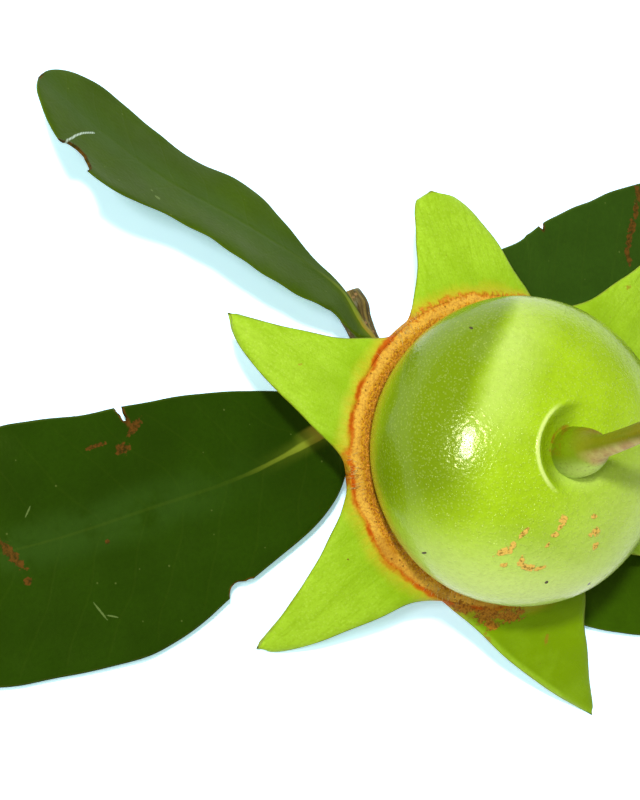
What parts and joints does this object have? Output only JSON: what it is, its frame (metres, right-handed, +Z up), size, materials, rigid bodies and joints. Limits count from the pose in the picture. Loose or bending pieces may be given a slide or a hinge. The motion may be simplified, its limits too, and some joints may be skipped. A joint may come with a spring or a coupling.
{
  "type": "mangrove apple",
  "caption": "Green mangrove fruit on a star-shaped calyx, with its style, a short twig and broad leaves; a food or nature display prop that lies on a surface.",
  "frame": {"origin": "on the surface that the sprig lies on, below the middle of the whole sprig", "axes": "+Z up from the surface; +X along the sprig's longest extent, from the tip of the left leaf towards the right leaves; +Y away from the front"},
  "size_m": [0.198, 0.1038, 0.0788],
  "materials": {
    "berry_skin": "smooth glossy green skin with fine pale dots",
    "style": "satin olive",
    "calyx": "leathery yellow-green with a rough orange-brown rim",
    "bark": "rough dark bark",
    "leaf": "satin dark green"
  },
  "bodies": {
    "root": {"berry": "berry_skin", "style": "style", "calyx": "calyx", "twig": "bark", "leaf_left": "leaf", "leaf_upper_left": "leaf", "leaf_upper_right": "leaf", "leaf_lower_right": "leaf"}
  },
  "joints": []
}
